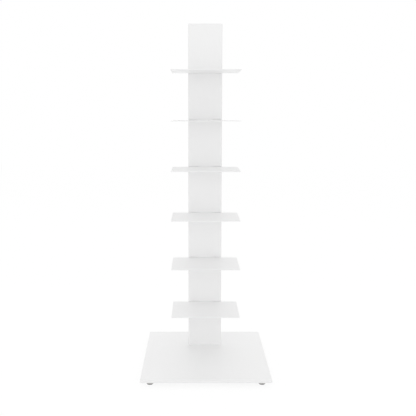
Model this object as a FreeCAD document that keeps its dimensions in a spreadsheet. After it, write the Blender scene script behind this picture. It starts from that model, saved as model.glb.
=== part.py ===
"""Spine bookshelf: a folded steel column on a square steel plate, six sheet steel
shelves that hook into slots in the column, and four levelling feet.

Millimetres.  +Z is up and the front of the shelf faces -Y.  The origin is on the
floor, under the middle of the base plate.
"""

import FreeCAD, Part
import Sketcher
import os

SHELF_COUNT = 6
SHEET_NAME = "Dimensions"
SQUARE_ROOT_OF_3 = 3 ** 0.5

# Driving dimensions: alias, millimetres, what it is.
DRIVING_DIMENSIONS = [
    ("base_size", 350.0, "side of the square base plate"),
    ("base_thickness", 6.0, "thickness of the base plate"),
    ("base_corner_radius", 3.0, "radius of the base plate's corners in plan"),
    ("base_edge_chamfer", 0.7, "chamfer on the base plate's top and bottom edges"),
    ("foot_height", 13.0, "floor to the underside of the base plate, feet screwed in"),
    ("foot_inset", 25.0, "centre of a foot to the edges of the base plate"),
    ("column_width", 98.5, "width of the column"),
    ("column_depth", 50.0, "depth of the column"),
    ("column_height", 955.0, "height of the column above the base plate"),
    ("column_front", 67.0, "column's front face behind the middle of the base plate"),
    ("sheet_thickness", 1.5, "sheet steel of the column and the shelves"),
    ("column_bend_radius", 3.0, "outer radius of the column's folded edges"),
    ("column_lip", 12.0, "width of the lips beside and above the opening at the back"),
    ("lip_corner_radius", 5.0, "radius of the upper corners of the opening at the back"),
    ("shelf_width", 190.0, "width of a shelf"),
    ("shelf_depth", 140.5, "depth of a shelf in front of the column"),
    ("shelf_corner_radius", 3.0, "radius of a shelf's front corners in plan"),
    ("shelf_edge_chamfer", 0.3, "chamfer on a shelf's front and side edges"),
    ("lowest_shelf", 136.5, "top of the base plate to the top of the lowest shelf"),
    ("shelf_spacing", 136.0, "from one shelf to the next"),
    ("hook_clearance", 0.1, "between a shelf's hooks and the faces of the column's wall"),
    ("tab_width", 25.0, "width of a shelf's tabs and their hooks"),
    ("tab_offset", 32.5, "middle of a tab to the middle of the shelf"),
    ("hook_height", 12.0, "straight part of a hook above its bend"),
    ("hook_corner_chamfer", 2.5, "chamfer on a hook's upper corners"),
    ("slot_side_gap", 0.5, "between a tab and each end of its slot"),
    ("slot_height", 3.0, "height of a slot"),
    ("slot_seat_gap", 0.05, "paint clearance under a tab that rests in its slot"),
    ("slot_mouth_chamfer", 0.5, "chamfer around a slot's front edge"),
    ("flange_thickness", 6.0, "thickness of the flange welded into the column's foot"),
    ("flange_corner_radius", 2.5, "radius of the flange's corners"),
    ("weld_gap", 0.05, "between the flange and the column's walls, filled by the weld"),
    ("screw_spacing_x", 64.0, "column screws, side to side"),
    ("screw_spacing_y", 26.0, "column screws, front to back"),
    ("screw_diameter", 6.0, "thread of the column screws and the feet"),
    ("screw_head_diameter", 10.0, "low cylindrical head of a column screw"),
    ("screw_head_height", 4.0, "height of that head under the base plate"),
    ("screw_socket_across", 4.0, "hexagon socket of a column screw, across flats"),
    ("screw_socket_depth", 2.3, "depth of that socket"),
    ("clearance_hole", 6.6, "hole in the base plate for a screw"),
    ("thread_gap", 0.05, "radial clearance between a thread and its nut"),
    ("nut_across", 10.0, "weld nut under the base plate, across flats"),
    ("nut_height", 5.0, "height of that nut"),
    ("nut_chamfer", 0.5, "chamfer around the nut's lower face"),
    ("stud_reach", 4.2, "end of a foot's stud above the underside of the base plate"),
    ("stud_relief_depth", 4.7, "blind hole in the base plate over each weld nut"),
    ("stud_bottom", 3.6, "floor to the lower end of a foot's stud"),
    ("disc_diameter", 19.0, "plated steel disc of a foot"),
    ("disc_lift", 1.8, "floor to the underside of the disc"),
    ("disc_stop_gap", 0.1, "top of the disc under the weld nut when screwed in"),
    ("disc_bore_gap", 0.02, "radial clearance between a disc and its stud"),
    ("pad_diameter", 16.4, "plastic pad under the disc"),
    ("pad_gap", 0.1, "clearance between the pad and the disc that turns on it"),
    ("pad_pin_gap", 0.08, "radial clearance of the pad's pin in the disc's bore"),
]


class Size:
    """A length that carries its value and the spreadsheet formula behind it."""

    def __init__(self, value, formula=None):
        self.value = float(value)
        self.formula = formula if formula is not None else repr(float(value))

    def combine(self, other, sign, value):
        return Size(value, f"({self.formula} {sign} {as_size(other).formula})")

    def __add__(self, other):
        return self.combine(other, "+", self.value + as_size(other).value)

    def __sub__(self, other):
        return self.combine(other, "-", self.value - as_size(other).value)

    def __mul__(self, other):
        return self.combine(other, "*", self.value * as_size(other).value)

    def __truediv__(self, other):
        return self.combine(other, "/", self.value / as_size(other).value)

    def __neg__(self):
        return Size(-self.value, f"(-1 * {self.formula})")


def as_size(number):
    return number if isinstance(number, Size) else Size(number)


ZERO = Size(0)
doc = FreeCAD.newDocument("spine_bookshelf")


def fill_spreadsheet():
    """Write the driving dimensions into the sheet and return them by name."""
    sheet = doc.addObject("Spreadsheet::Sheet", SHEET_NAME)
    sizes = {}
    for row, (alias, value, note) in enumerate(DRIVING_DIMENSIONS, start=1):
        sheet.set(f"A{row}", alias)
        sheet.set(f"B{row}", str(value))
        sheet.set(f"C{row}", note)
        sheet.setAlias(f"B{row}", alias)
        sizes[alias] = Size(value, f"{SHEET_NAME}.{alias}")
    doc.recompute()
    return sizes


size = fill_spreadsheet()


# ---------------------------------------------------------------- helpers

def bind(target, path, length):
    """Tie a property of an object to a formula on the spreadsheet."""
    target.setExpression(path, as_size(length).formula)


def new_body(label, x=ZERO, y=ZERO, z=ZERO):
    """A body named for its piece, placed by formulas."""
    body = doc.addObject("PartDesign::Body", label)
    body.Label = label
    for axis, length in (("x", x), ("y", y), ("z", z)):
        bind(body, f"Placement.Base.{axis}", length)
    return body


def origin_feature(body, role):
    return next(item for item in body.Origin.OriginFeatures if item.Role == role)


def upright(body):
    """The body's own vertical axis, as a revolved feature takes it."""
    return origin_feature(body, "Z_Axis"), [""]


def new_sketch(body, name, plane="XY_Plane", offset=ZERO):
    """A sketch on one of the body's own origin planes, moved along its normal."""
    sketch = body.newObject("Sketcher::SketchObject", name)
    sketch.AttachmentSupport = (origin_feature(body, plane), [""])
    sketch.MapMode = "FlatFace"
    bind(sketch, "AttachmentOffset.Base.z", offset)
    return sketch


def pin_point(sketch, geometry, point, x, y):
    """Fix a point of a sketch at (x, y) from the origin."""
    for kind, axis, length in (("DistanceX", -2, x), ("DistanceY", -1, y)):
        if as_size(length) is ZERO:
            sketch.addConstraint(Sketcher.Constraint("PointOnObject", geometry, point, axis))
            continue
        rule = Sketcher.Constraint(kind, -1, 1, geometry, point, as_size(length).value)
        bind(sketch, f"Constraints[{sketch.addConstraint(rule)}]", length)


def polygon(sketch, corners):
    """A closed outline with every corner fixed by formulas."""
    places = [FreeCAD.Vector(as_size(x).value, as_size(y).value, 0) for x, y in corners]
    ends = places[1:] + places[:1]
    lines = [sketch.addGeometry(Part.LineSegment(*pair), False) for pair in zip(places, ends)]
    for line, following in zip(lines, lines[1:] + lines[:1]):
        sketch.addConstraint(Sketcher.Constraint("Coincident", line, 2, following, 1))
    for line, (x, y) in zip(lines, corners):
        pin_point(sketch, line, 1, x, y)


def rectangle(sketch, left, right, low, high):
    polygon(sketch, [(left, low), (right, low), (right, high), (left, high)])


def circle(sketch, x, y, diameter):
    centre = FreeCAD.Vector(as_size(x).value, as_size(y).value, 0)
    upward = FreeCAD.Vector(0, 0, 1)
    ring = sketch.addGeometry(Part.Circle(centre, upward, diameter.value / 2), False)
    pin_point(sketch, ring, 3, x, y)
    rule = Sketcher.Constraint("Diameter", ring, diameter.value)
    bind(sketch, f"Constraints[{sketch.addConstraint(rule)}]", diameter)


def hexagon(sketch, x, y, across):
    """A regular hexagon with two corners on the X direction."""
    half = across / 2
    corner = across / SQUARE_ROOT_OF_3
    polygon(sketch, [(x + corner, y), (x + corner / 2, y + half), (x - corner / 2, y + half),
                     (x - corner, y), (x - corner / 2, y - half), (x + corner / 2, y - half)])


def extrude(body, kind, sketch, length=None, backwards=False):
    """A Pad or a Pocket; with no length a Pocket goes through everything."""
    feature = body.newObject(f"PartDesign::{kind}", kind)
    feature.Profile = sketch
    feature.Reversed = backwards
    if length is None:
        feature.Type = "ThroughAll"
    else:
        bind(feature, "Length", length)
    doc.recompute()
    return feature


def revolve(body, sketch, axis, angle=360.0):
    """A Revolution about an axis, which is a feature and the name of its edge."""
    feature = body.newObject("PartDesign::Revolution", "Revolution")
    feature.Profile = sketch
    feature.ReferenceAxis = axis
    feature.Angle = angle
    doc.recompute()
    return feature


def edges_where(feature, test):
    """Names of the feature's edges whose bounding box passes the test."""
    return [f"Edge{number}" for number, edge in enumerate(feature.Shape.Edges, start=1)
            if test(edge.BoundBox)]


def dress(body, kind, base, edges, length):
    """A Fillet or a Chamfer on named edges of a feature."""
    feature = body.newObject(f"PartDesign::{kind}", kind)
    feature.Base = (base, edges)
    bind(feature, "Radius" if kind == "Fillet" else "Size", length)
    doc.recompute()
    return feature


def repeat_four_ways(body):
    """Repeat the whole of a body by mirroring it left to right and front to back."""
    doc.recompute()
    pattern = body.newObject("PartDesign::MultiTransform", "FourWays")
    pattern.TransformMode = "Whole shape"
    mirrors = []
    for name, plane in (("LeftToRight", "YZ_Plane"), ("FrontToBack", "XZ_Plane")):
        mirror = body.newObject("PartDesign::Mirrored", name)
        mirror.MirrorPlane = (origin_feature(body, plane), [""])
        mirrors.append(mirror)
    pattern.Transformations = mirrors
    body.Tip = pattern
    doc.recompute()
    return body


def near(first, second):
    return abs(first - as_size(second).value) < 1e-4


def is_vertical(box):
    return box.ZLength > 1 and box.XLength < 1e-4 and box.YLength < 1e-4


def is_level(box, height):
    return near(box.ZMin, height) and near(box.ZMax, height)


# ---------------------------------------------------------------- levels and places

base_underside = size["foot_height"]
base_top = base_underside + size["base_thickness"]
column_middle = size["column_front"] + size["column_depth"] / 2
foot_place = size["base_size"] / 2 - size["foot_inset"]
tapped_diameter = size["screw_diameter"] + size["thread_gap"] * 2
# A hook bends about a line in the middle of the column's wall.  That line is also the
# one a shelf turns about when its front edge is lifted.
bend_inside = size["sheet_thickness"] / 2 + size["hook_clearance"]
bend_outside = bend_inside + size["sheet_thickness"]
hinge_line = size["column_front"] + size["sheet_thickness"] / 2
lowest_hinge = size["lowest_shelf"] + bend_inside


def column_screw_places():
    half_x = size["screw_spacing_x"] / 2
    half_y = size["screw_spacing_y"] / 2
    return [(half_x, half_y), (-half_x, half_y), (-half_x, -half_y), (half_x, -half_y)]


# ---------------------------------------------------------------- base

def make_base_plate():
    """The heavy plate, drilled through for the column's screws and part way through
    over each weld nut, so that its top shows no hole in front of the column."""
    half = size["base_size"] / 2
    body = new_body("base_plate", z=base_underside)
    outline = new_sketch(body, "BaseOutline")
    rectangle(outline, -half, half, -half, half)
    plate = extrude(body, "Pad", outline, size["base_thickness"])
    rounded = dress(body, "Fillet", plate, edges_where(plate, is_vertical),
                    size["base_corner_radius"])
    rims = edges_where(rounded, lambda box: is_level(box, 0)
                       or is_level(box, size["base_thickness"]))
    dress(body, "Chamfer", rounded, rims, size["base_edge_chamfer"])

    screw_holes = new_sketch(body, "ScrewHoles")
    for x, y in column_screw_places():
        circle(screw_holes, x, y + column_middle, size["clearance_hole"])
    doc.recompute()
    holes = body.newObject("PartDesign::Hole", "ClearanceHoles")
    holes.Profile = screw_holes
    holes.Reversed = True
    holes.DepthType = "ThroughAll"
    holes.ThreadType = "None"
    bind(holes, "Diameter", size["clearance_hole"])
    doc.recompute()

    reliefs = new_sketch(body, "StudReliefs")
    for x in (-foot_place, foot_place):
        for y in (-foot_place, foot_place):
            circle(reliefs, x, y, size["clearance_hole"])
    extrude(body, "Pocket", reliefs, size["stud_relief_depth"], backwards=True)
    return body


def make_foot_nuts():
    """Four hexagon nuts welded under the base plate, one over each foot."""
    body = new_body("foot_nuts", z=base_underside - size["nut_height"])
    blank = new_sketch(body, "NutBlank")
    hexagon(blank, foot_place, foot_place, size["nut_across"])
    nut = extrude(body, "Pad", blank, size["nut_height"])
    dress(body, "Chamfer", nut, edges_where(nut, lambda box: is_level(box, 0)),
          size["nut_chamfer"])
    bore = new_sketch(body, "NutBore")
    circle(bore, foot_place, foot_place, tapped_diameter)
    extrude(body, "Pocket", bore, backwards=True)
    return repeat_four_ways(body)


# ---------------------------------------------------------------- column

def make_column():
    """A tall box folded from one sheet: closed at the top, open at the foot, with a
    wide opening down its back between two lips, and a pair of slots for each shelf."""
    half_width = size["column_width"] / 2
    half_depth = size["column_depth"] / 2
    height = size["column_height"]
    body = new_body("column", y=column_middle, z=base_top)
    outline = new_sketch(body, "ColumnOutline")
    rectangle(outline, -half_width, half_width, -half_depth, half_depth)
    block = extrude(body, "Pad", outline, height)
    folded = dress(body, "Fillet", block, edges_where(block, lambda box: not is_level(box, 0)),
                   size["column_bend_radius"])
    inside = new_sketch(body, "ColumnInside")
    inner_width = half_width - size["sheet_thickness"]
    inner_depth = half_depth - size["sheet_thickness"]
    rectangle(inside, -inner_width, inner_width, -inner_depth, inner_depth)
    hollow = extrude(body, "Pocket", inside, height - size["sheet_thickness"], backwards=True)
    bends = edges_where(hollow, lambda box: is_vertical(box) and near(abs(box.XMin), inner_width))
    dress(body, "Fillet", hollow, bends, size["column_bend_radius"] - size["sheet_thickness"])

    back = new_sketch(body, "BackOpening", "XZ_Plane")
    half_opening = half_width - size["column_lip"]
    opening_top = height - size["column_lip"]
    rectangle(back, -half_opening, half_opening, ZERO, opening_top)
    opened = extrude(body, "Pocket", back)
    corners = edges_where(opened, lambda box: is_level(box, opening_top)
                          and near(box.XLength, 0) and box.YLength > 1)
    opened = dress(body, "Fillet", opened, corners, size["lip_corner_radius"])

    slots = new_sketch(body, "ShelfSlots", "XZ_Plane")
    slot_low = lowest_hinge - bend_outside - size["slot_seat_gap"]
    half_slot = size["tab_width"] / 2 + size["slot_side_gap"]
    for middle in (-size["tab_offset"], size["tab_offset"]):
        rectangle(slots, middle - half_slot, middle + half_slot,
                  slot_low, slot_low + size["slot_height"])
    pair = extrude(body, "Pocket", slots, backwards=True)
    rows = body.newObject("PartDesign::LinearPattern", "SlotRows")
    rows.Originals = [pair]
    rows.Direction = (origin_feature(body, "Z_Axis"), [""])
    rows.Occurrences = SHELF_COUNT
    bind(rows, "Length", size["shelf_spacing"] * (SHELF_COUNT - 1))
    body.Tip = rows
    doc.recompute()
    flat = (half_width - size["column_bend_radius"]).value - 0.01
    mouths = edges_where(rows, lambda box: near(box.YMin, -half_depth) and near(box.YMax, -half_depth)
                         and -flat < box.XMin and box.XMax < flat)
    dress(body, "Chamfer", rows, mouths, size["slot_mouth_chamfer"])
    return body


def make_column_flange():
    """The plate welded into the column's foot, which the screws pull down."""
    half_width = size["column_width"] / 2 - size["sheet_thickness"] - size["weld_gap"]
    half_depth = size["column_depth"] / 2 - size["sheet_thickness"] - size["weld_gap"]
    body = new_body("column_flange", y=column_middle, z=base_top)
    outline = new_sketch(body, "FlangeOutline")
    rectangle(outline, -half_width, half_width, -half_depth, half_depth)
    plate = extrude(body, "Pad", outline, size["flange_thickness"])
    dress(body, "Fillet", plate, edges_where(plate, is_vertical), size["flange_corner_radius"])
    taps = new_sketch(body, "TappedHoles")
    for x, y in column_screw_places():
        circle(taps, x, y, tapped_diameter)
    extrude(body, "Pocket", taps, backwards=True)
    return body


def make_column_screws():
    """Four low-headed socket screws, driven up through the base plate."""
    head = size["screw_head_diameter"] / 2
    head_height = size["screw_head_height"]
    shank = size["screw_diameter"] / 2
    length = head_height + size["base_thickness"] + size["flange_thickness"]
    x, y = column_screw_places()[0]
    body = new_body("column_screws", y=column_middle, z=base_underside - head_height)
    profile = new_sketch(body, "ScrewProfile", "XZ_Plane", offset=-y)
    corners = [(x, ZERO), (x + head, ZERO), (x + head, head_height),
               (x + shank, head_height), (x + shank, length), (x, length)]
    polygon(profile, corners)
    # The outline's last line lies on the screw's axis.
    revolve(body, profile, (profile, [f"Edge{len(corners)}"]))
    socket = new_sketch(body, "ScrewSocket")
    hexagon(socket, x, y, size["screw_socket_across"])
    extrude(body, "Pocket", socket, size["screw_socket_depth"], backwards=True)
    return repeat_four_ways(body)


# ---------------------------------------------------------------- shelves

def make_shelf(number):
    """One shelf, drawn about the line that it turns on.

    The plate's straight rear edge meets the column's face.  Two tabs go on through the
    slots, bend up about the hinge line and stand close behind the wall as hooks.
    """
    level = lowest_hinge + size["shelf_spacing"] * (number - 1)
    body = new_body(f"shelf_{number}", y=hinge_line, z=base_top + level)
    half_width = size["shelf_width"] / 2
    rear = -bend_inside
    front = -(size["shelf_depth"] + size["sheet_thickness"] / 2)
    outline = new_sketch(body, "ShelfOutline", offset=-bend_outside)
    rectangle(outline, -half_width, half_width, front, rear)
    plate = extrude(body, "Pad", outline, size["sheet_thickness"])
    corners = edges_where(plate, lambda box: is_vertical(box) and near(box.YMin, front))
    plate = dress(body, "Fillet", plate, corners, size["shelf_corner_radius"])
    rims = edges_where(plate, lambda box: (is_level(box, -bend_outside) or is_level(box, -bend_inside))
                       and not (near(box.YMin, rear) and near(box.YMax, rear)))
    dress(body, "Chamfer", plate, rims, size["shelf_edge_chamfer"])

    left = size["tab_offset"] - size["tab_width"] / 2
    right = size["tab_offset"] + size["tab_width"] / 2
    section = new_sketch(body, "TabSection", "XZ_Plane")
    rectangle(section, left, right, -bend_outside, -bend_inside)
    tab = extrude(body, "Pad", section, bend_inside)
    bend_section = new_sketch(body, "BendSection", "XZ_Plane")
    rectangle(bend_section, left, right, -bend_outside, -bend_inside)
    bend = revolve(body, bend_section, (origin_feature(body, "X_Axis"), [""]), 90.0)
    hook_section = new_sketch(body, "HookSection")
    rectangle(hook_section, left, right, bend_inside, bend_outside)
    hook = extrude(body, "Pad", hook_section, size["hook_height"])
    other_side = body.newObject("PartDesign::Mirrored", "OtherSide")
    other_side.Originals = [tab, bend, hook]
    other_side.MirrorPlane = (origin_feature(body, "YZ_Plane"), [""])
    body.Tip = other_side
    doc.recompute()
    hook_corners = edges_where(other_side, lambda box: is_level(box, size["hook_height"])
                               and near(box.XLength, 0) and near(box.YLength, size["sheet_thickness"]))
    dress(body, "Chamfer", other_side, hook_corners, size["hook_corner_chamfer"])
    return body


# ---------------------------------------------------------------- feet

disc_top = base_underside - size["nut_height"] - size["disc_stop_gap"]
stud_radius = size["screw_diameter"] / 2
disc_bore = stud_radius + size["disc_bore_gap"]


def make_foot_pad(name, x, y):
    """The plastic sole, with a pin that turns in the lower end of the disc's bore."""
    body = new_body(name, x, y)
    outer = size["pad_diameter"] / 2
    pin = disc_bore - size["pad_pin_gap"]
    top = size["disc_lift"] - size["pad_gap"]
    pin_top = size["stud_bottom"] - size["pad_gap"]
    profile = new_sketch(body, "PadProfile", "XZ_Plane")
    polygon(profile, [(ZERO, ZERO), (outer, ZERO), (outer, top), (pin, top),
                      (pin, pin_top), (ZERO, pin_top)])
    revolve(body, profile, upright(body))
    return body


def make_foot_disc(name, x, y):
    """The plated steel disc, pressed on to the lower end of the stud."""
    body = new_body(name, x, y)
    outer = size["disc_diameter"] / 2
    profile = new_sketch(body, "DiscProfile", "XZ_Plane")
    rectangle(profile, disc_bore, outer, size["disc_lift"], disc_top)
    revolve(body, profile, upright(body))
    return body


def make_foot_stud(name, x, y):
    """The threaded stud between the disc and the weld nut."""
    body = new_body(name, x, y)
    profile = new_sketch(body, "StudProfile", "XZ_Plane")
    rectangle(profile, ZERO, stud_radius, size["stud_bottom"],
              base_underside + size["stud_reach"])
    revolve(body, profile, upright(body))
    return body


def make_feet():
    bodies = []
    for row, y in (("front", -foot_place), ("rear", foot_place)):
        for side, x in (("left", -foot_place), ("right", foot_place)):
            foot = f"foot_{row}_{side}"
            bodies.append(make_foot_pad(f"{foot}_pad", x, y))
            bodies.append(make_foot_disc(f"{foot}_disc", x, y))
            bodies.append(make_foot_stud(f"{foot}_stud", x, y))
    return bodies


# ---------------------------------------------------------------- document

def check_document():
    """Stop with a message if any object failed, or a piece has no valid solid."""
    for item in doc.Objects:
        if "Invalid" in item.State or "Error" in item.State:
            raise RuntimeError(f"{item.Label} ({item.Name}) failed: {item.State}")
    for piece in pieces:
        shape = piece.Shape
        if shape.isNull() or not shape.isValid() or not shape.Solids:
            raise RuntimeError(f"{piece.Label} has no valid solid")


def write_pieces():
    os.makedirs("parts", exist_ok=True)
    for piece in pieces:
        piece.Shape.exportStep(f"parts/{piece.Label}.step")


pieces = [make_base_plate(), make_foot_nuts(), make_column(), make_column_flange(),
          make_column_screws()]
pieces += [make_shelf(number) for number in range(1, SHELF_COUNT + 1)]
pieces += make_feet()
doc.recompute()
check_document()
write_pieces()
for piece in pieces:
    box = piece.Shape.BoundBox
    print(f"{piece.Label:24s} solids {len(piece.Shape.Solids)}  volume {piece.Shape.Volume:10.1f}  "
          f"x {box.XMin:8.2f} {box.XMax:8.2f}  y {box.YMin:8.2f} {box.YMax:8.2f}  "
          f"z {box.ZMin:8.2f} {box.ZMax:8.2f}")
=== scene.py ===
"""Spine bookshelf: the finishes, fasteners, levelling feet and weld of a steel bookshelf
whose shelves hook into a folded column, and a plain studio to show it in.

Lengths are in metres.  +Z is up and the shelves face -Y.  The object of a finished piece sits
at the origin, and its place is in its mesh.
"""

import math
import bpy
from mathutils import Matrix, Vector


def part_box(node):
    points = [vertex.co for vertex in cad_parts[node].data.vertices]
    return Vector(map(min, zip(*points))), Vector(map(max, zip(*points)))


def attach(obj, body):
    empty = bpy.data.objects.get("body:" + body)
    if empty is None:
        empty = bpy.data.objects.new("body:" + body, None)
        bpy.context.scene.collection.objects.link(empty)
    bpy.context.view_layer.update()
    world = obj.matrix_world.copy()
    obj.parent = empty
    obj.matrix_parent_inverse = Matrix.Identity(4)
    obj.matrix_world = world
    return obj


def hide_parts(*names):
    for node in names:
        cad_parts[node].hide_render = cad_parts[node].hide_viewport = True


bl_info = {
    "name": "Spine Bookshelf",
    "version": (1, 0, 0),
    "blender": (4, 5, 0),
    "location": "3D View > Sidebar > Bookshelf",
    "description": "Finishes, fasteners, levelling feet and studio of a hooked steel bookshelf",
    "category": "Object",
}

import bmesh
import bpy
from bpy.props import FloatProperty, FloatVectorProperty, IntProperty, PointerProperty
from mathutils import Vector

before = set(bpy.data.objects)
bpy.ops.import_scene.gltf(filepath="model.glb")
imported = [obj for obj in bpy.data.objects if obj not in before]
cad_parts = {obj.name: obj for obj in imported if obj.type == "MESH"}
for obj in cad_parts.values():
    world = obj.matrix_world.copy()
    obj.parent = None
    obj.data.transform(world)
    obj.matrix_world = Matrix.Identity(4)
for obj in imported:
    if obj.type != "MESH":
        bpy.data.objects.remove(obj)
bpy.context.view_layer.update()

PAINTED_NODES = ["base_plate", "column", "column_flange"]
PAINTED_NODES += sorted(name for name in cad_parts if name.startswith("shelf_"))
FEET = sorted(name.removesuffix("_stud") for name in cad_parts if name.endswith("_stud"))
FIRST_FOOT = FEET[0]

UP = Vector((0, 0, 1))
SAME_PLACE = 1e-6                       # points nearer to each other than this are one point
SEED_SIZE = 0.001                       # width of the plane that becomes a line's first point
CUT_PAST = 0.001                        # how far a cutter runs past what it cuts
RIM_SHARE = 0.99                        # beyond this share of the radius, an edge is on the rim
RIM_SEGMENTS = 3
SMOOTH_ANGLE = math.radians(35)         # faces that meet at less than this shade as one
HEXAGON_SIDES = 6
HEXAGON_TURN = math.radians(30)         # turns two of a hexagon's corners to point along X


# ---------------------------------------------------------------- sizes from the frame

def middle(node):
    """The middle of a node's box."""
    low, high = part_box(node)
    return (low + high) / 2


def radius(node):
    """Half the width of a round node."""
    low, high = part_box(node)
    return (high.x - low.x) / 2


def heights(node):
    """The lowest and the highest level of a node."""
    low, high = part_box(node)
    return low.z, high.z


def foot_axis(foot):
    """The point on the floor under a foot's stud."""
    place = middle(f"{foot}_stud")
    return Vector((place.x, place.y, 0))


BASE_UNDERSIDE = heights("base_plate")[0]
FLANGE_LOW, FLANGE_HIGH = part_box("column_flange")
SCREWS_LOW, SCREWS_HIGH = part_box("column_screws")
NUTS_LOW, NUTS_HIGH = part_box("foot_nuts")
STUD_RADIUS = radius(f"{FIRST_FOOT}_stud")
FOOT_SPACING = abs(foot_axis(FIRST_FOOT).x) * 2
# The nuts' corners point along X, so their flats show in the box's depth.
NUT_ACROSS = (NUTS_HIGH.y - NUTS_LOW.y) - FOOT_SPACING


# ---------------------------------------------------------------- what a user can change

class PowderCoatSettings(bpy.types.PropertyGroup):
    """The white coat of the sheet and plate steel."""

    colour: FloatVectorProperty(
        name="Colour", description="White of the powder coat", subtype="COLOR", size=3,
        min=0, max=1, default=(0.92, 0.92, 0.92))
    roughness: FloatProperty(
        name="Roughness", description="Satin of the coat", subtype="FACTOR", min=0, max=1,
        default=0.5)
    ripple_width: FloatProperty(
        name="Ripple width", description="From one ripple of the coat's orange peel to the next",
        unit="LENGTH", default=0.0011)
    ripple_height: FloatProperty(
        name="Ripple height", description="Height of the orange peel", unit="LENGTH",
        default=0.00005)
    grain_width: FloatProperty(
        name="Grain width", description="Size of the coat's finest grain", unit="LENGTH",
        default=0.00035)


class FittingSettings(bpy.types.PropertyGroup):
    """Screws, weld nuts and levelling feet."""

    disc_colour: FloatVectorProperty(
        name="Disc colour", description="Nickel plate of the feet's discs", subtype="COLOR",
        size=3, min=0, max=1, default=(0.50, 0.495, 0.485))
    zinc_colour: FloatVectorProperty(
        name="Zinc colour", description="Zinc plate of the studs and screws", subtype="COLOR",
        size=3, min=0, max=1, default=(0.58, 0.59, 0.61))
    pad_colour: FloatVectorProperty(
        name="Pad colour", description="Plastic of the feet's pads", subtype="COLOR", size=3,
        min=0, max=1, default=(0.055, 0.055, 0.058))
    thread_pitch: FloatProperty(
        name="Thread pitch", description="Rise of a thread in one turn", unit="LENGTH",
        default=0.001)
    thread_depth: FloatProperty(
        name="Thread depth", description="Depth of a thread", unit="LENGTH", default=0.00054)
    turning_steps: IntProperty(
        name="Turning steps", description="Facets around a turned piece", default=64, min=12,
        max=128)
    disc_rim: FloatProperty(
        name="Disc rim", description="Rounding of a disc's rims", unit="LENGTH", default=0.0004)
    disc_groove: FloatProperty(
        name="Disc groove", description="Depth of the groove turned around a disc",
        unit="LENGTH", default=0.00035)
    pad_rim: FloatProperty(
        name="Pad rim", description="Rounding of a pad's rims", unit="LENGTH", default=0.00045)
    head_rim: FloatProperty(
        name="Head rim", description="Rounding of a screw head's rim", unit="LENGTH",
        default=0.0005)
    bead_radius: FloatProperty(
        name="Bead radius", description="Radius of the weld bead around the column's flange",
        unit="LENGTH", default=0.0019)


class StudioSettings(bpy.types.PropertyGroup):
    """Camera, lamps and floor."""

    camera_place: FloatVectorProperty(
        name="Camera place", description="Where the camera stands", subtype="XYZ",
        unit="LENGTH", size=3, default=(-0.0275, -1.6417, 0.72))
    camera_tilt: FloatProperty(
        name="Camera tilt", description="How far the camera looks down", unit="ROTATION",
        default=math.radians(6.825))
    camera_lens: FloatProperty(
        name="Lens", description="Focal length on a 36 mm wide sensor, in millimetres",
        unit="CAMERA", default=50.56)
    camera_shift: FloatVectorProperty(
        name="Lens shift", description="Shift of the lens, as a share of the picture's width",
        size=2, default=(0.0296, -0.06))
    room_level: FloatProperty(
        name="Room level", description="Light of the white room on the bookshelf", min=0,
        default=0.85)
    lamp_level: FloatProperty(
        name="Lamp level", description="Power of the key lamp, in watts", unit="POWER", min=0,
        default=2.86)
    floor_glow: FloatProperty(
        name="Floor glow", description="Own light of the floor, which makes it white to the eye",
        min=0, default=1.03)
    shadow_share: FloatProperty(
        name="Shadow share", description="How much of its shading the white floor shows",
        subtype="FACTOR", min=0, max=1, default=0.12)


# ---------------------------------------------------------------- modelling by operators

def run(operator, **settings):
    """Call one of Blender's operators and stop if it could not finish."""
    if "FINISHED" not in operator(**settings):
        raise RuntimeError(f"{operator.idname()} could not finish")


def clear_selection():
    """Leave edit mode and select nothing.

    The operators that deselect or change the way of selecting say that they were cancelled
    where there is nothing to change, so these few aren't called through run().
    """
    if bpy.context.object is not None and bpy.context.object.mode == "EDIT":
        run(bpy.ops.object.mode_set, mode="OBJECT")
    bpy.ops.object.select_all(action="DESELECT")


def work_on(piece):
    """Make a piece the only one selected, and the active one."""
    clear_selection()
    piece.select_set(True)
    bpy.context.view_layer.objects.active = piece


def edit(piece, kind="VERT"):
    """Open a piece in edit mode with nothing selected."""
    work_on(piece)
    run(bpy.ops.object.mode_set, mode="EDIT")
    bpy.ops.mesh.select_mode(type=kind)
    bpy.ops.mesh.select_all(action="DESELECT")


def settle_place(piece):
    """Move a piece's place, turn and size from its object into its mesh."""
    work_on(piece)
    run(bpy.ops.object.transform_apply, location=True, rotation=True, scale=True)


def apply_modifier(piece, kind, **settings):
    """Add a modifier with its settings and apply it."""
    work_on(piece)
    modifier = piece.modifiers.new(kind.title(), kind)
    for setting, value in settings.items():
        setattr(modifier, setting, value)
    run(bpy.ops.object.modifier_apply, modifier=modifier.name)


def clean(piece):
    """Merge doubles, take out slivers and turn every face outwards."""
    edit(piece)
    run(bpy.ops.mesh.select_all, action="SELECT")
    run(bpy.ops.mesh.remove_doubles, threshold=SAME_PLACE)
    run(bpy.ops.mesh.dissolve_degenerate, threshold=SAME_PLACE)
    run(bpy.ops.mesh.normals_make_consistent, inside=False)
    clear_selection()


def draw_line(name, origin, corners):
    """A mesh line from corner to corner; the corners are measured from the origin."""
    clear_selection()
    run(bpy.ops.mesh.primitive_plane_add, size=SEED_SIZE, location=origin)
    piece = bpy.context.object
    piece.name = name
    edit(piece)
    run(bpy.ops.mesh.select_all, action="SELECT")
    run(bpy.ops.mesh.merge, type="CENTER")
    run(bpy.ops.transform.translate, value=corners[0])
    for start, end in zip(corners, corners[1:]):
        run(bpy.ops.mesh.extrude_region_move, TRANSFORM_OT_translate={"value": end - start})
    return piece


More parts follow.
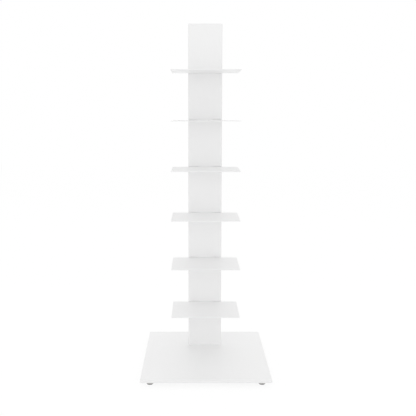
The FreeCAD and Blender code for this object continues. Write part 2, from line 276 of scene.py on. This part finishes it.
def turn(name, origin, outline, steps):
    """Spin an outline of (radius, height) pairs about an upright axis."""
    piece = draw_line(name, origin, [Vector((size, 0, height)) for size, height in outline])
    run(bpy.ops.mesh.select_all, action="SELECT")
    run(bpy.ops.mesh.spin, steps=steps, angle=math.tau, center=origin, axis=UP)
    clean(piece)
    return piece


def cylinder(name, origin, size, low, high, sides, turned=0.0):
    """An upright cylinder or prism of a given radius between two heights."""
    clear_selection()
    place = Vector((origin.x, origin.y, (low + high) / 2))
    run(bpy.ops.mesh.primitive_cylinder_add, vertices=sides, radius=size, depth=high - low,
        location=place, rotation=(0, 0, turned))
    piece = bpy.context.object
    piece.name = name
    return piece


def hexagon_reach(across):
    """From a hexagon's middle to its corners, given its width across its flats."""
    return across / math.sqrt(3)


def hexagon(name, origin, across, low, high):
    """An upright hexagonal prism with two of its corners along X."""
    return cylinder(name, origin, hexagon_reach(across), low, high, HEXAGON_SIDES,
                    turned=HEXAGON_TURN)


def combine(piece, other, operation):
    """Cut, join or intersect a piece with another, which is used up."""
    apply_modifier(piece, "BOOLEAN", operation=operation, object=other, solver="EXACT")
    bpy.data.objects.remove(other)
    clean(piece)


def on_a_rim(size, *levels):
    """A test for the edges around the level rims of a round piece of a given radius."""
    def test(first, second):
        nearest = min(math.hypot(first.x, first.y), math.hypot(second.x, second.y))
        return nearest > size * RIM_SHARE and any(
            max(abs(first.z - level), abs(second.z - level)) < SAME_PLACE for level in levels)
    return test


def pick_edges(piece, test):
    """Select the edges whose two ends, in the object's own space, pass a test."""
    shape = bmesh.from_edit_mesh(piece.data)
    for edge in shape.edges:
        edge.select_set(test(edge.verts[0].co, edge.verts[1].co))
    shape.select_flush_mode()
    bmesh.update_edit_mesh(piece.data)


def round_edges(piece, test, width):
    """Bevel the edges that pass a test."""
    edit(piece, "EDGE")
    pick_edges(piece, test)
    run(bpy.ops.mesh.bevel, offset=width, segments=RIM_SEGMENTS, affect="EDGES")
    clear_selection()


def copy_of(piece, name, step):
    """A copy with a mesh of its own, moved by a step."""
    work_on(piece)
    run(bpy.ops.object.duplicate)
    copy = bpy.context.object
    copy.name = name
    run(bpy.ops.transform.translate, value=step)
    return copy


def join(name, pieces):
    """Join pieces into the first one."""
    clear_selection()
    for piece in pieces:
        piece.select_set(True)
    bpy.context.view_layer.objects.active = pieces[0]
    run(bpy.ops.object.join)
    pieces[0].name = name
    return pieces[0]


def threaded_rod(name, origin, size, low, high, settings):
    """A rod with a V thread of one start, turned down to a chamfer at both ends."""
    pitch = settings.thread_pitch
    depth = settings.thread_depth
    core = size - depth
    # The root, rising flank, crest and falling flank end at these shares of a turn's rise.
    outline = [(core, 0), (core, 1 / 4), (size, 9 / 16), (size, 11 / 16), (core, 1)]
    spare_turns = 1.5
    start = math.floor(low / pitch - spare_turns) * pitch
    turns = math.ceil((high - start) / pitch) + 1
    rod = draw_line(name, origin, [
        Vector((reach, 0, start + share * pitch)) for reach, share in outline])
    steps = settings.turning_steps // 2
    apply_modifier(rod, "SCREW", axis="Z", angle=math.tau, screw_offset=pitch,
                   iterations=turns, steps=steps, render_steps=steps)
    clean(rod)
    edit(rod, "EDGE")
    run(bpy.ops.mesh.select_non_manifold)
    run(bpy.ops.mesh.fill_holes, sides=0)
    run(bpy.ops.mesh.quads_convert_to_tris)
    clean(rod)
    # The blank stands clear of the crests, so that only its ends cut the thread.
    blank_reach = size + depth
    chamfer = 2 * depth
    blank = turn("blank", origin, [
        (0, low), (core, low), (blank_reach, low + chamfer), (blank_reach, high - chamfer),
        (core, high), (0, high)], settings.turning_steps)
    combine(rod, blank, "INTERSECT")
    return rod


def complete(piece, body, slot, nodes=(), smooth=SMOOTH_ANGLE):
    """Settle and shade a piece, and say what it is made of, rides on and replaces."""
    settle_place(piece)
    run(bpy.ops.object.shade_smooth_by_angle, angle=smooth)
    # Large flat faces keep their own normals, and the narrow bevels beside them bend.
    apply_modifier(piece, "WEIGHTED_NORMAL", keep_sharp=True)
    piece.data.materials.clear()
    piece.data.materials.append(finish_of(slot))
    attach(piece, body)
    if nodes:
        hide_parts(*nodes)


def complete_on_feet(first, part, body_part, slot):
    """Copy a part made at the first foot to the others, and complete all four."""
    start = foot_axis(FIRST_FOOT)
    copies = [
        copy_of(first, f"{foot}_turned_{part}", foot_axis(foot) - start) for foot in FEET[1:]]
    first.name = f"{FIRST_FOOT}_turned_{part}"
    for foot, piece in zip(FEET, [first, *copies]):
        complete(piece, f"{foot}_{body_part}", slot, [f"{foot}_{part}"])


# ---------------------------------------------------------------- finishes

NOISE_MIDDLE = 0.5                      # the value that every noise goes up and down about


class Socket:
    """A value in a finish's node tree; sums written on it become Math nodes."""

    def __init__(self, finish, output):
        self.finish = finish
        self.output = output

    def math(self, operation, first, second):
        """Add a Math node."""
        return self.finish.node("Math", {"operation": operation}, {0: first, 1: second})

    def __add__(self, other):
        return self.math("ADD", self, other)

    def __radd__(self, other):
        return self.math("ADD", other, self)

    def __sub__(self, other):
        return self.math("SUBTRACT", self, other)

    def __rsub__(self, other):
        return self.math("SUBTRACT", other, self)

    def __mul__(self, other):
        return self.math("MULTIPLY", self, other)

    def __rmul__(self, other):
        return self.math("MULTIPLY", other, self)

    def larger(self, other):
        """The larger of two values."""
        return self.math("MAXIMUM", self, other)

    def swing(self, width):
        """Noise made into a swing of a given width about zero."""
        return (self - NOISE_MIDDLE) * width


class Finish:
    """A material, or a world, and the nodes that make it."""

    def __init__(self, owner):
        owner.use_nodes = True
        self.owner = owner
        self.tree = owner.node_tree
        self.tree.nodes.clear()

    def node(self, kind, settings=None, values=None, output=None):
        """Add a node: first its settings, then the values or links of its sockets."""
        node = self.tree.nodes.new(f"ShaderNode{kind}")
        for setting, value in (settings or {}).items():
            setattr(node, setting, value)
        shown = [socket for socket in node.inputs if socket.enabled]
        for key, value in (values or {}).items():
            socket = shown[key] if isinstance(key, int) else next(s for s in shown if s.name == key)
            if isinstance(value, Socket):
                self.tree.links.new(value.output, socket)
            else:
                socket.default_value = value
        outputs = [socket for socket in node.outputs if socket.enabled]
        if not outputs:
            return None
        return Socket(self, next(s for s in outputs if output in (None, s.name)))

    def place(self):
        """The place of a point in the object's own space."""
        return self.node("TexCoord", output="Object")

    def noise(self, place, size, detail=2.0):
        """Even noise whose features are about this size."""
        return self.node("TexNoise", {}, {"Vector": place, "Scale": 1 / size, "Detail": detail})

    def mottled(self, colour, mask, darkest, lightest):
        """A colour times a factor that goes, as the mask does, from darkest to lightest."""
        return self.node("Mix", {"data_type": "RGBA"}, {
            "Factor": mask, "A": tinted(colour, darkest), "B": tinted(colour, lightest)})

    def relief(self, mask, height):
        """The normals of a surface that stands up by a height where the mask is 1."""
        return self.node("Bump", {}, {"Strength": 1.0, "Distance": height, "Height": mask})

    def seen(self):
        """1 where the camera sees a surface, straight, mirrored or through glass, else 0."""
        straight, mirrored, through = (
            self.node("LightPath", output=f"Is {ray} Ray")
            for ray in ("Camera", "Glossy", "Transmission"))
        return straight.larger(mirrored).larger(through)

    def surface(self, values):
        """End the finish in a Principled surface."""
        shader = self.node("BsdfPrincipled", {}, values)
        self.node("OutputMaterial", {}, {"Surface": shader})
        return self.owner


def new_finish(name):
    """A finish for a new material."""
    return Finish(bpy.data.materials.new(name))


def tinted(colour, factor):
    """A colour with its opacity, made lighter or darker."""
    return (*(part * factor for part in colour), 1)


def powder_coat(finish):
    """White satin powder coat: orange peel, a fine grain and a faint drift in its gloss."""
    settings = bpy.context.scene.bookshelf_coat
    drift_width = 0.12
    ripple_share = 0.7
    place = finish.place()
    ripple = finish.noise(place, settings.ripple_width)
    grain = finish.noise(place, settings.grain_width, detail=1.0)
    drift = finish.noise(place, drift_width)
    peel = ripple * ripple_share + grain * (1 - ripple_share)
    return finish.surface({
        "Base Color": finish.mottled(settings.colour, drift, darkest=0.994, lightest=1.006),
        "Roughness": settings.roughness + drift.swing(width=0.08) + grain.swing(width=0.06),
        "Normal": finish.relief(peel, settings.ripple_height),
        "IOR": 1.5})


def nickel_plate(finish):
    """Bright nickel over turned steel, with fine rings left by the tool."""
    settings = bpy.context.scene.bookshelf_fittings
    haze_width = 0.004
    ring_height = 0.000004
    place = finish.place()
    rings = finish.node("TexWave", {"bands_direction": "Z"}, {
        "Vector": place, "Scale": 1200.0, "Distortion": 0.6, "Detail": 2.0}, output="Fac")
    haze = finish.noise(place, haze_width)
    return finish.surface({
        "Base Color": finish.mottled(settings.disc_colour, haze, darkest=0.94, lightest=1.06),
        "Metallic": 1.0,
        "Roughness": 0.2 + haze.swing(width=0.12),
        "Normal": finish.relief(rings, ring_height)})


def zinc_plate(finish):
    """Clear zinc plate: a cool, slightly cloudy metal."""
    settings = bpy.context.scene.bookshelf_fittings
    cloud_width = 0.0025
    speck_width = 0.0004
    speck_height = 0.000006
    place = finish.place()
    cloud = finish.noise(place, cloud_width, detail=4.0)
    speck = finish.noise(place, speck_width)
    return finish.surface({
        "Base Color": finish.mottled(settings.zinc_colour, cloud, darkest=0.86, lightest=1.12),
        "Metallic": 1.0,
        "Roughness": 0.34 + cloud.swing(width=0.2),
        "Normal": finish.relief(speck, speck_height)})


def pad_plastic(finish):
    """Dark moulded plastic with an eroded mould's grain."""
    settings = bpy.context.scene.bookshelf_fittings
    grain_width = 0.0003
    grain_height = 0.00002
    wear_width = 0.003
    place = finish.place()
    grain = finish.noise(place, grain_width)
    wear = finish.noise(place, wear_width, detail=3.0)
    return finish.surface({
        "Base Color": finish.mottled(settings.pad_colour, wear, darkest=0.85, lightest=1.2),
        "Roughness": 0.55 + wear.swing(width=0.2),
        "Normal": finish.relief(grain, grain_height)})


# The material of each slot of the record: its name, and what makes it.
FINISHES = {
    "powder_coat": ("white_powder_coat", powder_coat),
    "nickel_plate": ("turned_nickel", nickel_plate),
    "zinc_plate": ("zinc_plated_steel", zinc_plate),
    "pad_plastic": ("moulded_pad_plastic", pad_plastic),
}


def finish_of(slot):
    """A slot's material, made once and shared by all that has it."""
    name, maker = FINISHES[slot]
    return bpy.data.materials.get(name) or maker(new_finish(name))


# ---------------------------------------------------------------- the operators

class BOOKSHELF_OT_coat_steel(bpy.types.Operator):
    """Give the base plate, column, flange and shelves their powder coat"""

    bl_idname = "bookshelf.coat_steel"
    bl_label = "Coat the Steel"

    def execute(self, context):
        coat = finish_of("powder_coat")
        for name in PAINTED_NODES:
            for material_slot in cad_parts[name].material_slots:
                material_slot.material = coat
        return {"FINISHED"}


class BOOKSHELF_OT_weld_flange(bpy.types.Operator):
    """Lay the weld bead that joins the flange to the column's walls"""

    bl_idname = "bookshelf.weld_flange"
    bl_label = "Weld the Flange"

    inset = 0.0006                      # from the flange's edges and top to the bead's middle
    lip_reach = 0.0105                  # how far the bead follows the column's rear lips
    drop_spacing = 0.0017
    drop_subdivisions = 2
    end_taper = (0.55, 0.8)             # sizes of the end drops, as shares of the others'
    grid_share = 0.17                   # remeshing grid, as a share of the bead's radius
    melting = 0.5                       # how far the drops are smoothed into each other
    smooth_angle = math.radians(60)

    def route(self):
        """Evenly spaced points along the walls, from one lip to the other."""
        left, right = FLANGE_LOW.x + self.inset, FLANGE_HIGH.x - self.inset
        front, rear = FLANGE_LOW.y + self.inset, FLANGE_HIGH.y - self.inset
        height = FLANGE_HIGH.z + self.inset
        corners = [(left + self.lip_reach, rear), (left, rear), (left, front),
                   (right, front), (right, rear), (right - self.lip_reach, rear)]
        points = []
        for (x0, y0), (x1, y1) in zip(corners, corners[1:]):
            steps = round(math.hypot(x1 - x0, y1 - y0) / self.drop_spacing)
            for step in range(steps):
                share = step / steps
                points.append(Vector((x0 + (x1 - x0) * share, y0 + (y1 - y0) * share, height)))
        points.append(Vector((*corners[-1], height)))
        return points

    def execute(self, context):
        settings = context.scene.bookshelf_fittings
        clear_selection()
        run(bpy.ops.mesh.primitive_ico_sphere_add, subdivisions=self.drop_subdivisions,
            radius=settings.bead_radius)
        drop = bpy.context.object
        points = self.route()
        full_sized = len(points) - 2 * len(self.end_taper)
        factors = [*self.end_taper, *[1.0] * full_sized, *reversed(self.end_taper)]
        drops = []
        for number, (point, factor) in enumerate(zip(points, factors)):
            drops.append(copy_of(drop, f"weld_drop_{number}", point))
            run(bpy.ops.transform.resize, value=(factor, factor, factor))
        bpy.data.objects.remove(drop)
        bead = join("flange_weld_bead", drops)
        settle_place(bead)
        apply_modifier(bead, "REMESH", mode="VOXEL",
                       voxel_size=settings.bead_radius * self.grid_share)
        apply_modifier(bead, "SMOOTH", factor=self.melting, iterations=1)
        complete(bead, "frame", "powder_coat", smooth=self.smooth_angle)
        return {"FINISHED"}


class BOOKSHELF_OT_column_screws(bpy.types.Operator):
    """Model the four socket screws that hold the column down"""

    bl_idname = "bookshelf.column_screws"
    bl_label = "Column Screws"

    head_radius = 0.005
    socket_across = 0.004
    socket_depth = 0.0023
    root_in_head = 0.0015               # how deep in the head the threaded rod starts

    def execute(self, context):
        settings = context.scene.bookshelf_fittings
        low, high = SCREWS_LOW.z, BASE_UNDERSIDE
        centre = middle("column_screws")
        right = SCREWS_HIGH.x - self.head_radius
        rear = SCREWS_HIGH.y - self.head_radius
        axis = Vector((right, rear, 0))
        screw = cylinder("column_screw", axis, self.head_radius, low, high,
                         settings.turning_steps)
        # The head's own space has its origin halfway up the head.
        round_edges(screw, on_a_rim(self.head_radius, (low - high) / 2), settings.head_rim)
        key = hexagon("key", axis, self.socket_across, low - CUT_PAST, low + self.socket_depth)
        combine(screw, key, "DIFFERENCE")
        rod = threaded_rod("screw_rod", axis, STUD_RADIUS, high - self.root_in_head,
                           SCREWS_HIGH.z, settings)
        combine(screw, rod, "UNION")
        step_x = Vector((2 * (centre.x - right), 0, 0))
        step_y = Vector((0, 2 * (centre.y - rear), 0))
        screws = [screw]
        for number, step in enumerate((step_x, step_y, step_x + step_y), start=2):
            screws.append(copy_of(screw, f"column_screw_{number}", step))
        screw.name = "column_screw_1"
        for piece in screws:
            complete(piece, "frame", "zinc_plate", ["column_screws"])
        return {"FINISHED"}


class BOOKSHELF_OT_weld_nuts(bpy.types.Operator):
    """Model the hexagon nuts welded under the base plate, with their tacks"""

    bl_idname = "bookshelf.weld_nuts"
    bl_label = "Weld Nuts"

    face_share = 0.48                   # radius of the flat lower face, as a share of the width
    corner_slope = math.radians(30)     # of the cut that takes the lower corners off
    blank_gap = 0.0002                  # how far the turned blank clears the nut's corners
    bore_gap = 0.00005
    bore_chamfer = 0.0004
    tack_count = 3
    first_tack = 90                     # degrees from +X
    tack_radius = 0.0016
    tack_scale = (0.85, 1.8, 0.7)
    tack_offset = 0.2                   # from the nut's flat out, as a share of the radius
    tack_segments = 24
    tack_rings = 14

    def nut_body(self, axis, low, high, steps):
        """A bored hexagon nut with the corners of its lower face turned off."""
        nut = hexagon("weld_nut", axis, NUT_ACROSS, low, high)
        face = NUT_ACROSS * self.face_share
        reach = hexagon_reach(NUT_ACROSS) + self.blank_gap
        fall = (reach - face) * math.tan(self.corner_slope)
        blank = turn("nut_blank", axis, [
            (0, low), (face, low), (reach, low + fall), (reach, high + CUT_PAST),
            (0, high + CUT_PAST)], steps)
        combine(nut, blank, "INTERSECT")
        bore = STUD_RADIUS + self.bore_gap
        drill = turn("drill", axis, [
            (0, low - CUT_PAST), (bore + self.bore_chamfer + CUT_PAST, low - CUT_PAST),
            (bore, low + self.bore_chamfer), (bore, high + CUT_PAST), (0, high + CUT_PAST)], steps)
        combine(nut, drill, "DIFFERENCE")
        return nut

    def tack(self, place, angle):
        """A flattened drop of weld, cut off level with the plate."""
        clear_selection()
        run(bpy.ops.mesh.primitive_uv_sphere_add, segments=self.tack_segments,
            ring_count=self.tack_rings, radius=self.tack_radius, location=place,
            rotation=(0, 0, angle), scale=self.tack_scale)
        tack = bpy.context.object
        edit(tack)
        run(bpy.ops.mesh.select_all, action="SELECT")
        run(bpy.ops.mesh.bisect, plane_co=place, plane_no=-UP, use_fill=True, clear_inner=True)
        clean(tack)
        return tack

    def execute(self, context):
        low, high = NUTS_LOW.z, NUTS_HIGH.z
        axis = foot_axis(FIRST_FOOT)
        nut = self.nut_body(axis, low, high, context.scene.bookshelf_fittings.turning_steps)
        reach = NUT_ACROSS / 2 + self.tack_radius * self.tack_offset
        for number in range(self.tack_count):
            angle = math.radians(self.first_tack + 360 / self.tack_count * number)
            place = Vector((axis.x + reach * math.cos(angle),
                            axis.y + reach * math.sin(angle), high))
            combine(nut, self.tack(place, angle), "UNION")
        nuts = [nut]
        for foot in FEET[1:]:
            nuts.append(copy_of(nut, foot.replace("foot", "weld_nut"), foot_axis(foot) - axis))
        nut.name = FIRST_FOOT.replace("foot", "weld_nut")
        for piece in nuts:
            complete(piece, "frame", "powder_coat", ["foot_nuts"])
        return {"FINISHED"}


class BOOKSHELF_OT_foot_studs(bpy.types.Operator):
    """Model the threaded studs of the levelling feet"""

    bl_idname = "bookshelf.foot_studs"
    bl_label = "Foot Studs"

    shank_share = 0.985                 # the shank's radius, as a share of the thread's
    shank_above_disc = 0.0003
    thread_in_shank = 0.0012            # how far below the disc's top the thread's core starts

    def execute(self, context):
        settings = context.scene.bookshelf_fittings
        low, high = heights(f"{FIRST_FOOT}_stud")
        disc_top = heights(f"{FIRST_FOOT}_disc")[1]
        axis = foot_axis(FIRST_FOOT)
        # A plain shank is pressed into the disc, and the thread starts just above it.
        stud = cylinder("stud", axis, STUD_RADIUS * self.shank_share, low,
                        disc_top + self.shank_above_disc, settings.turning_steps)
        rod = threaded_rod("stud_thread", axis, STUD_RADIUS, disc_top - self.thread_in_shank,
                           high, settings)
        combine(stud, rod, "UNION")
        complete_on_feet(stud, "stud", "screw", "zinc_plate")
        return {"FINISHED"}


class BOOKSHELF_OT_foot_discs(bpy.types.Operator):
    """Model the plated discs of the levelling feet"""

    bl_idname = "bookshelf.foot_discs"
    bl_label = "Foot Discs"

    bore_gap = 0.00002
    floor_share = 0.5                   # half the groove's floor, as a share of its depth
    mouth_share = 1.5                   # half the groove's mouth, as a share of its depth

    def execute(self, context):
        settings = context.scene.bookshelf_fittings
        low, high = heights(f"{FIRST_FOOT}_disc")
        outer = radius(f"{FIRST_FOOT}_disc")
        bore = STUD_RADIUS + self.bore_gap
        waist = (low + high) / 2
        inner = outer - settings.disc_groove
        floor = settings.disc_groove * self.floor_share
        mouth = settings.disc_groove * self.mouth_share
        disc = turn("disc", foot_axis(FIRST_FOOT), [
            (bore, low), (outer, low), (outer, waist - mouth), (inner, waist - floor),
            (inner, waist + floor), (outer, waist + mouth), (outer, high), (bore, high),
            (bore, low)], settings.turning_steps)
        round_edges(disc, on_a_rim(outer, low, high), settings.disc_rim)
        complete_on_feet(disc, "disc", "screw", "nickel_plate")
        return {"FINISHED"}


class BOOKSHELF_OT_foot_pads(bpy.types.Operator):
    """Model the plastic pads that the feet turn on"""

    bl_idname = "bookshelf.foot_pads"
    bl_label = "Foot Pads"

    disc_gap = 0.0001
    pin_gap = 0.00006
    recess_depth = 0.0004               # of the recess under the sole
    recess_shares = (0.45, 0.5)         # its radii, top and mouth, as shares of the pad's

    def execute(self, context):
        settings = context.scene.bookshelf_fittings
        low, high = heights(f"{FIRST_FOOT}_pad")
        outer = radius(f"{FIRST_FOOT}_pad")
        shoulder = heights(f"{FIRST_FOOT}_disc")[0] - self.disc_gap
        pin = STUD_RADIUS - self.pin_gap
        hollow = low + self.recess_depth
        recess_top, recess_mouth = (outer * share for share in self.recess_shares)
        pad = turn("pad", foot_axis(FIRST_FOOT), [
            (0, hollow), (recess_top, hollow), (recess_mouth, low), (outer, low),
            (outer, shoulder), (pin, shoulder), (pin, high), (0, high)], settings.turning_steps)
        round_edges(pad, on_a_rim(outer, low, shoulder), settings.pad_rim)
        complete_on_feet(pad, "pad", "sole", "pad_plastic")
        return {"FINISHED"}


class BOOKSHELF_OT_studio(bpy.types.Operator):
    """Set up the white floor, the room's light, the soft lamps and the camera"""

    bl_idname = "bookshelf.studio"
    bl_label = "Studio"

    white = (1, 1, 1, 1)
    floor_size = 12.0
    floor_colour = (0.9, 0.9, 0.9, 1)
    sensor_width = 36.0                 # millimetres
    lamps = (
        # name, place, what it faces, width, height, power as a share of the key lamp's
        ("key_lamp", (0, -1.8, 2.4), (0, 0, 0.5), 2.4, 1.6, 1.0),
        ("front_fill", (0, -2.6, 0.9), (0, 0, 0.5), 3.0, 1.6, 1.73),
        ("front_reflector", (0, -1.2, 0.35), (0, 0, 0.9), 2.0, 0.8, 0.33),
        ("rear_reflector", (0, 0.9, 0.3), (0, 0, 0.9), 2.4, 0.7, 0.81),
        ("rear_fill", (0, 2.2, 2.0), (0, 0, 0.5), 2.4, 1.6, 0.75),
    )

    def white_room(self, settings):
        """A white world: at strength 1 to the camera and in reflections, less as light."""
        world = bpy.data.worlds.new("white_room")
        bpy.context.scene.world = world
        room = Finish(world)
        level = settings.room_level + room.seen() * (1 - settings.room_level)
        light = room.node("Background", {}, {"Color": self.white, "Strength": level})
        room.node("OutputWorld", {}, {"Surface": light})

    def white_floor(self, settings):
        """A floor that the camera sees as white, with a share of its own shading."""
        clear_selection()
        run(bpy.ops.mesh.primitive_plane_add, size=self.floor_size)
        floor = bpy.context.object
        floor.name = "studio_floor"
        finish = new_finish("white_floor")
        matt = finish.node("BsdfDiffuse", {}, {"Color": self.floor_colour})
        glow = finish.node("Emission", {}, {
            "Color": self.white, "Strength": settings.floor_glow})
        shade = finish.node("MixShader", {}, {
            "Fac": finish.seen() * (1 - settings.shadow_share), 1: matt, 2: glow})
        finish.node("OutputMaterial", {}, {"Surface": shade})
        floor.data.materials.append(finish.owner)

    def lamp(self, name, place, target, width, height, power):
        """A soft lamp of a rectangular shape that the camera doesn't see."""
        data = bpy.data.lights.new(name, "AREA")
        data.shape = "RECTANGLE"
        data.size = width
        data.size_y = height
        data.energy = power
        lamp = bpy.data.objects.new(name, data)
        lamp.location = place
        lamp.rotation_euler = (Vector(target) - Vector(place)).to_track_quat("-Z", "Y").to_euler()
        lamp.visible_camera = False
        bpy.context.scene.collection.objects.link(lamp)

    def camera(self, settings):
        """The camera, which looks along +Y and a little down."""
        data = bpy.data.cameras.new("studio_camera")
        data.sensor_width = self.sensor_width
        data.lens = settings.camera_lens
        data.shift_x, data.shift_y = settings.camera_shift
        camera = bpy.data.objects.new("studio_camera", data)
        camera.location = settings.camera_place
        camera.rotation_euler = (math.pi / 2 - settings.camera_tilt, 0, 0)
        bpy.context.scene.collection.objects.link(camera)
        bpy.context.scene.camera = camera

    def execute(self, context):
        settings = context.scene.bookshelf_studio
        self.white_room(settings)
        self.white_floor(settings)
        for name, place, target, width, height, share in self.lamps:
            self.lamp(name, place, target, width, height, settings.lamp_level * share)
        self.camera(settings)
        context.scene.view_settings.view_transform = "Standard"
        return {"FINISHED"}


OPERATORS = (BOOKSHELF_OT_coat_steel, BOOKSHELF_OT_weld_flange, BOOKSHELF_OT_column_screws,
             BOOKSHELF_OT_weld_nuts, BOOKSHELF_OT_foot_studs, BOOKSHELF_OT_foot_discs,
             BOOKSHELF_OT_foot_pads, BOOKSHELF_OT_studio)
SETTINGS = {"bookshelf_coat": PowderCoatSettings, "bookshelf_fittings": FittingSettings,
            "bookshelf_studio": StudioSettings}


class BOOKSHELF_PT_panel(bpy.types.Panel):
    """The bookshelf's settings and operators in the 3D view's sidebar"""

    bl_idname = "BOOKSHELF_PT_panel"
    bl_label = "Spine Bookshelf"
    bl_space_type = "VIEW_3D"
    bl_region_type = "UI"
    bl_category = "Bookshelf"

    def draw(self, context):
        for group_name in SETTINGS:
            group = getattr(context.scene, group_name)
            box = self.layout.box()
            for name in group.bl_rna.properties.keys():
                if name not in ("rna_type", "name"):
                    box.prop(group, name)
        for operator in OPERATORS:
            self.layout.operator(operator.bl_idname)


def register():
    """Register the settings, the operators and the panel."""
    for kind in (*SETTINGS.values(), *OPERATORS, BOOKSHELF_PT_panel):
        bpy.utils.register_class(kind)
    for name, kind in SETTINGS.items():
        setattr(bpy.types.Scene, name, PointerProperty(type=kind))


def unregister():
    """Take out all that register() adds."""
    for name in SETTINGS:
        delattr(bpy.types.Scene, name)
    for kind in (BOOKSHELF_PT_panel, *reversed(OPERATORS), *SETTINGS.values()):
        bpy.utils.unregister_class(kind)


def main():
    """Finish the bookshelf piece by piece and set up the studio."""
    register()
    run(bpy.ops.bookshelf.coat_steel)
    run(bpy.ops.bookshelf.weld_flange)
    run(bpy.ops.bookshelf.column_screws)
    run(bpy.ops.bookshelf.weld_nuts)
    run(bpy.ops.bookshelf.foot_studs)
    run(bpy.ops.bookshelf.foot_discs)
    run(bpy.ops.bookshelf.foot_pads)
    run(bpy.ops.bookshelf.studio)


if __name__ == "__main__":
    main()
